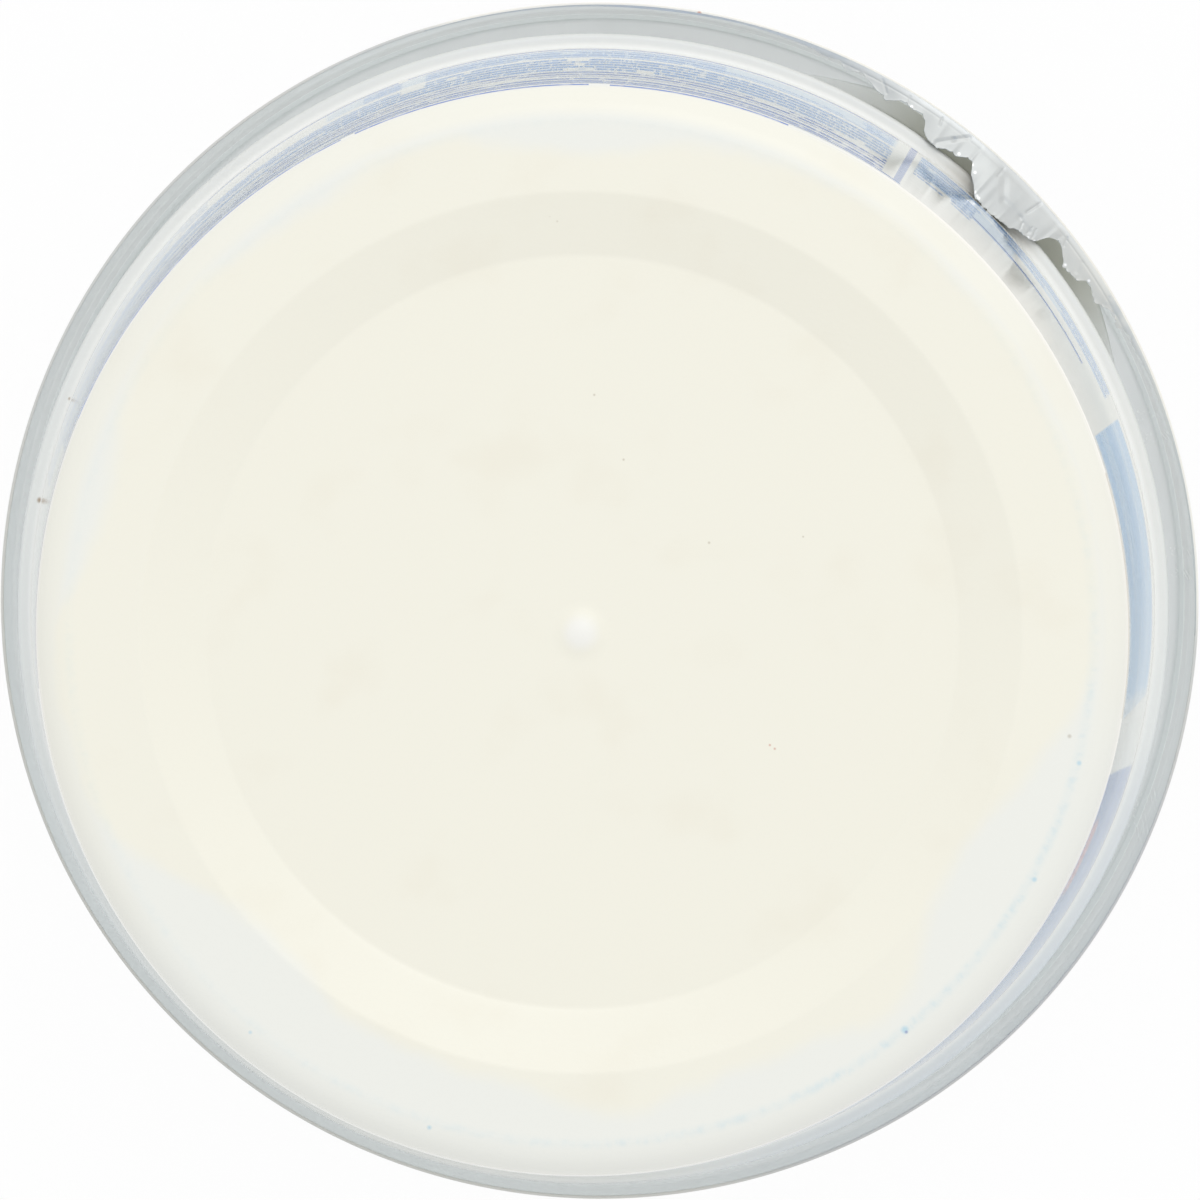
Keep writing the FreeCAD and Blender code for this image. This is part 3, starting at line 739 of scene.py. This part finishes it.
lid_finish, wire, output = material("clouded_lid_plastic")
where, distance, degrees, height = around(wire, (0, 0))
foot = height.within(2.8, 8.0, 1.6) * 1.3
lip = height.step(12.3, 12.56)
scratches = degrees.joined(degrees * 2.0 + height * 0.4, distance * 3.0)
scratches = scratches.noise(1.0, 3.0).step(0.52, 0.7)
scuffed = 0
for left, right in SCUFFS:
    scuffed = scuffed + degrees.within(left, right, 0.3)
scuffed = scuffed * scratches * (1 - lip)
# painted light and highlight: the lip is much lighter over the arc that faces the lamp, above the
# foil
lip_painted_light = degrees.within(-2, 106, 3)
lip_colour = mixed(lip_painted_light, srgb(216, 216, 212), srgb(252, 249, 240))
clouded = specked(where, mixed(lip, srgb(228, 232, 232), lip_colour), LID_SPECKS)
clouded = mixed(scuffed * 0.8, clouded, srgb(250, 250, 250))
below = 1 - height.step(1.0, 1.6)
bead = height.within(1.7, 3.5, 0.5)
evenness = ramp(wire, degrees, EVENNESS)
density = (0.56 - 0.16 * foot + 0.44 * lip + 0.3 * scuffed + 0.16 * below).clamp()
solid = wire.node("ShaderNodeBsdfPrincipled", None, {
    "Base Color": clouded, "Roughness": 0.3, "IOR": PLASTIC_IOR, "Alpha": density,
})
glow = wire.node("ShaderNodeBsdfTranslucent", None, {"Color": srgb(238, 241, 241)})
# painted light: the glow share is raised at the bead to lighten the shade of its dark line
glow_share = (0.05 + evenness - 0.16 * foot - 0.5 * lip + 0.3 * bead).clamp()
shader = wire.node("ShaderNodeMixShader", None, {0: glow_share, 1: solid, 2: glow})
wire.feed(output.inputs["Surface"], shader)

skin("clear_lid", *turned(lid_profile), lid_finish, "lid", "lid_plastic")

# %% [markdown]
# ## Cheese
#
# The cheese fills the cup up to the foil. The base hides it and carries the look
# of its touch, so its own shape is plain and it needs fewer segments.

# %% Cheese
cheese_profile = filled_in(rounded([
    (0, 44.96, 0), (31.1, 44.96, 1.0), (36.3, 46.76, 1.0), (43.66, 46.76, 2.2), (47.86, 12.1, 0.2),
    (48.5, 12.0, 0.2), (48.52, 3.0, 0.4), (47.9, 2.75, 0.2), (0, 2.74, 0),
]), 1.5)
cheese_finish, wire, output = material("soft_cheese")
where, distance, degrees, height = around(wire, TUB_AXIS)
smear = where.noise(0.35, 4.0)
cheese_colour = mixed(smear, srgb(244, 240, 226), srgb(250, 247, 238))
shader = wire.node("ShaderNodeBsdfPrincipled", None, {
    "Base Color": cheese_colour, "Roughness": 0.45,
})
wire.feed(output.inputs["Surface"], shader)

cheese_skin = turned(cheese_profile, TUB_AXIS, HIDDEN_SEGMENTS)
skin("soft_cheese", *cheese_skin, cheese_finish, "cream_cheese", "cream_cheese")

# %% [markdown]
# ## Foil
#
# The seal is a disc of foil under the rim. Its margin is wider on one side,
# where it runs up inside the skirt, bends over and ends in a torn edge.

# %% Foil disc and film
LID_RADIUS = 52.0
GLINT_RADIUS = 0.16
GLINTS = [
    (57.8, 1.2), (55.9, 2.0), (51.3, 2.15), (49.6, 2.15), (48.9, 2.5), (47.6, 3.8), (47.2, 3.9),
    (46.9, 3.95), (40.5, 3.2), (39.8, 3.0), (39.5, 2.7), (36.0, 2.1), (33.4, 1.2),
]
GAP_FLOOR_LIGHT = [(-180, 1), (24, 1), (36, 0), (45, 0), (54, 0), (60, 0.6), (66, 1), (180, 1)]


def from_lip(angle, inset):
    """A place on the film in mm, from an angle in degrees and how far inward it lies."""
    radius, turn = LID_RADIUS - inset, math.radians(angle)
    return (radius * math.cos(turn), radius * math.sin(turn), 0)


foil_finish, wire, output = material("silver_foil")
where, distance, degrees, height = around(wire, (0, 0))
flat_x, flat_y, _ = where.split()
flat = where.joined(flat_x, flat_y)
tone = where.noise(0.6, 2.0)
silver = mixed(tone, srgb(193, 196, 195), srgb(208, 210, 208))
# painted light: the film is lighter in the band under the lid's lip
silver = mixed(distance.step(51.3, 51.7), silver, srgb(216, 219, 219))
lit = degrees.within(14, 37, 5) * (0.3 + 0.15 * distance.step(50.6, 51.5))
silver = mixed(lit, silver, srgb(240, 237, 226))
glints = [(*from_lip(angle, inset), GLINT_RADIUS) for angle, inset in GLINTS]
silver = specked(flat, silver, [(srgb(255, 255, 255), 1.0, glints)])
# painted light: the foil on the gap floor is near white towards the film's ends, where the gap is
# light, and tan under its middle
gap_floor_light = ramp(wire, degrees, GAP_FLOOR_LIGHT)
low = 1 - height.step(1.0, 2.0)
silver = mixed(low, silver, mixed(gap_floor_light.clamp(), srgb(218, 217, 205), srgb(252, 252, 251)))
shader = wire.node("ShaderNodeBsdfPrincipled", None, {
    "Base Color": silver, "Roughness": 0.5, "Metallic": 0.6,
})
wire.feed(output.inputs["Surface"], shader)

disc_profile = filled_in(rounded([
    (0, 2.6, 0), (47.7, 2.6, 0.3), (48.3, 0.80, 0.15), (50.1, 0.80, 0.04), (50.1, 0.65, 0.04),
    (48.2, 0.65, 0.2), (47.55, 2.45, 0.3), (0, 2.45, 0),
]), 2.0)
disc_skin = turned(disc_profile, TUB_AXIS, HIDDEN_SEGMENTS)
skin("foil_disc", *disc_skin, foil_finish, "foil_seal", "foil")

# %% Film outline
# (degrees, mm) pairs: how far inward the film's edge lies, and how high
FILM_REACH = [
    (-3, 0.28), (4, 0.34), (9, 0.30), (15, 0.38), (22, 0.42), (26, 0.6), (26.8, 0.5), (27.6, 0.7),
    (27.9, 0.9), (28.1, 1.2), (28.4, 1.15), (28.6, 0.95), (29.4, 0.75), (30.2, 0.95), (30.7, 1.4),
    (31.4, 1.7), (32.3, 1.5), (33.1, 1.2), (33.7, 1.5), (34.1, 2.0), (35, 2.15), (36, 2.35),
    (36.5, 2.0), (37.2, 1.6), (38.2, 1.25), (38.8, 1.5), (39.3, 1.9), (39.5, 2.6), (39.8, 2.9),
    (40.7, 3.2), (42, 3.5), (42.6, 3.85), (44, 4.15), (46, 4.2), (46.5, 4.0), (47.1, 4.2),
    (47.6, 3.9), (48.3, 3.3), (49, 2.9), (49.4, 2.45), (49.7, 1.9), (50.4, 1.85), (50.9, 2.15),
    (51.6, 2.6), (51.9, 2.25), (52.3, 2.35), (52.9, 2.55), (53.6, 3.0), (54.1, 2.65), (54.6, 2.8),
    (55.1, 2.65), (55.6, 2.1), (55.9, 1.6), (56.7, 1.1), (57.3, 1.3), (57.9, 1.3), (58.3, 1.1),
    (59.2, 1.25), (59.7, 1.65), (60.3, 1.85), (60.8, 1.6), (62, 1.25), (62.9, 1.1), (63.4, 0.65),
    (64.2, 0.85), (65.1, 1.2), (65.6, 0.8), (66, 0.55), (67.5, 0.75), (68.5, 0.55), (76, 0.36),
    (84, 0.42), (92, 0.32), (107, 0.28),
]
FILM_HEIGHT = [
    (-3, 12.5), (26, 12.5), (30, 12.4), (36, 12.7), (38.5, 12.8), (40, 13.4), (42, 13.8),
    (44, 14.3), (47.5, 14.5), (48.5, 13.9), (50, 13.1), (54, 13.2), (56, 12.9), (60, 12.7),
    (66, 12.5), (107, 12.5),
]
# (degrees, share) pairs: how far the film's root hangs down into the gap
FILM_HANGS = [(-3, 0), (29, 0), (34, 0.5), (37, 0.66), (55, 0.66), (59, 0.3), (65, 0), (107, 0)]
ROOT_RADIUS, ROOT_HEIGHT = 51.8, 12.61

rng = np.random.default_rng(4)
spans = [(-3, 26, 0.3), (26, 68.5, 0.075), (68.5, 107, 0.3)]
angles = np.concatenate([np.arange(*span) for span in spans])
soft = np.linspace(-0.15, 0.15, 5)[:, None]
reach = np.interp(angles + soft, *zip(*FILM_REACH)).mean(axis=0)
coarse, fine = np.arange(-4, 109, 0.5), np.arange(-4, 109, 0.17)
bumps = rng.uniform(-1, 1, len(coarse)), rng.uniform(-1, 1, len(fine))
teeth = np.abs(np.interp(angles + soft * 0.6, coarse, bumps[0]).mean(axis=0)) * 1.6
teeth = teeth + 0.6 * np.interp(angles, fine, bumps[1])
teeth = teeth * np.clip(reach - 0.2, 0.05, 0.9)
edge_height = np.interp(angles, *zip(*FILM_HEIGHT))
hangs = np.interp(angles, *zip(*FILM_HANGS))
print("film from", angles[0], "to", round(angles[-1], 1), "degrees")
print("it reaches", round(reach.max(), 2), "mm inward at most")

# %% [markdown]
# The film's creases are straight folds a millimetre or two long. Each one is a
# line between two places, and it presses the film down by its depth on the
# line and by nothing at its half width. Small rises and dips from angle to angle
# tilt the panels between the creases.

# %% Creases
# from (degrees, mm inward) to (degrees, mm inward), depth in mm, half width in mm
CREASES = [
    (54.7, 0.55, 54.5, 1.2, 0.06, 0.16), (51.5, 0.5, 52.6, 1.5, 0.10, 0.3),
    (52.6, 1.5, 53.8, 2.6, 0.08, 0.35), (47.05, 0.6, 47.0, 1.4, 0.07, 0.16),
    (46.4, 1.2, 44.9, 2.6, 0.06, 0.5), (44.9, 2.6, 42.6, 2.6, 0.08, 0.45),
    (42.6, 2.6, 40.9, 2.8, 0.07, 0.35), (42.2, 0.45, 42.45, 1.8, 0.11, 0.2),
    (42.0, 2.7, 41.7, 3.2, 0.07, 0.13), (41.0, 2.4, 40.9, 3.0, 0.08, 0.13),
    (40.6, 2.2, 40.2, 2.9, 0.08, 0.13), (38.05, 0.55, 37.6, 1.2, 0.06, 0.16),
    (35.3, 0.9, 34.8, 1.6, 0.04, 0.3), (31.0, 0.5, 30.8, 1.2, 0.05, 0.2),
    (58.4, 0.55, 58.2, 1.1, 0.04, 0.18), (61.5, 0.5, 60.6, 1.3, 0.05, 0.2),
    (70.0, 0.72, 24.0, 0.72, 0.02, 0.14),
]
TILTS = [
    (-3, 0.0), (33, 0.03), (37.9, -0.04), (40.4, 0.03), (43.4, -0.02), (47.0, 0.04), (51.5, -0.03),
    (54.4, 0.03), (58, -0.02), (68.5, 0.0), (107, 0),
]
MM_PER_DEGREE = 0.9


def open_grid(shape):
    """Quads of an open sheet of shape[0] rows of n = shape[1] points.

    Each quad is (k, k + 1, k + 1 + n, k + n).
    """
    i, j = np.meshgrid(np.arange(shape[0] - 1), np.arange(shape[1] - 1), indexing="ij")
    k = i * shape[1] + j
    return np.stack([k, k + 1, k + 1 + shape[1], k + shape[1]], axis=-1).reshape(-1, 4).tolist()


def crease_depth(angles, insets, crease):
    """Depth at each place: depth * (1 - d / w), and 0 past w.

    Here d is the distance to the crease's line, ends included, and w its half width.
    """
    from_angle, from_inset, to_angle, to_inset, depth, half_width = crease
    start = np.array([from_angle * MM_PER_DEGREE, from_inset])
    along = np.array([to_angle * MM_PER_DEGREE, to_inset]) - start
    places = np.stack([angles * MM_PER_DEGREE, insets], axis=-1) - start
    share = np.clip(places @ along / (along @ along), 0, 1)
    distance = np.linalg.norm(places - share[..., None] * along, axis=-1)
    return depth * np.clip(1 - distance / half_width, 0, 1)


# %% Film shape
path_share = np.array([0, 0.02, 0.1, 0.3, 0.5, 0.7, 0.78, 0.84, 0.9, 0.94, 1.0])
path_r = np.array([51.8, 51.63, 51.58, 51.45, 51.32, 51.15, 50.80, 51.10, 50.95, 50.4, 49.6])
path_z = np.array([12.61, 12.4, 11.4, 8.8, 6.3, 3.7, 2.7, 1.6, 0.80, 0.72, 0.74])
down = np.linspace(1, 0, 13)[:, None] * hangs
rising, rising_z = np.interp(down, path_share, path_r), np.interp(down, path_share, path_z)
across = np.linspace(0, 1, 42)[:, None]
inward = ROOT_RADIUS - (ROOT_RADIUS - (LID_RADIUS - reach)) * across - 0.12 * teeth * across**8
insets = LID_RADIUS - inward
wide_angles = np.broadcast_to(angles, inward.shape)
folds = sum(crease_depth(wide_angles, insets, crease) for crease in CREASES)
swell = np.interp(angles, *zip(*TILTS)) * np.sin(np.pi * across) ** 0.6
rise = (edge_height - ROOT_HEIGHT) * across**0.8
inward_z = ROOT_HEIGHT + rise + swell - folds + 0.04 * np.abs(teeth) * across**12
radius = np.vstack([rising, inward])
level = np.vstack([rising_z, inward_z])
turn = np.radians(angles)
film_points = np.stack([radius * np.cos(turn), radius * np.sin(turn), level], axis=-1)
film_points, film_faces = film_points.reshape(-1, 3), open_grid(radius.shape)
film = skin("foil_film", film_points, film_faces, foil_finish, "foil_seal", "foil")

# %% [markdown]
# Under the film the disc's margin lies flat on the floor of the gap. It narrows
# to nothing at both ends.

# %% Foil margin
MARGIN_WIDTH = [(22, 0), (32, 2.0), (60, 2.0), (70, 0)]
MARGIN_START, GAP_FLOOR_Z = 49.2, 0.74
FOIL_THICKNESS = 0.05

margin_angles = np.arange(22.5, 70, 0.5)
margin_width = np.interp(margin_angles, *zip(*MARGIN_WIDTH))
margin_r = MARGIN_START + np.linspace(0, 1, 6)[:, None] * margin_width
margin_turn = np.radians(margin_angles)
margin_x, margin_y = margin_r * np.cos(margin_turn), margin_r * np.sin(margin_turn)
margin_points = np.stack([margin_x, margin_y, np.full_like(margin_r, GAP_FLOOR_Z)], axis=-1)
margin_points, margin_faces = margin_points.reshape(-1, 3), open_grid(margin_r.shape)
margin = skin("foil_margin", margin_points, margin_faces, foil_finish, "foil_seal", "foil")
for piece in (film, margin):
    wall = piece.modifiers.new("thickness", "SOLIDIFY")
    wall.thickness = FOIL_THICKNESS * MM
    wall.offset = 0

# %% Size of the looks
new_low, new_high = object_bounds()
new_box = [[round(v / MM, 2) for v in corner] for corner in (new_low, new_high)]
print("box of the looks in mm", new_box)
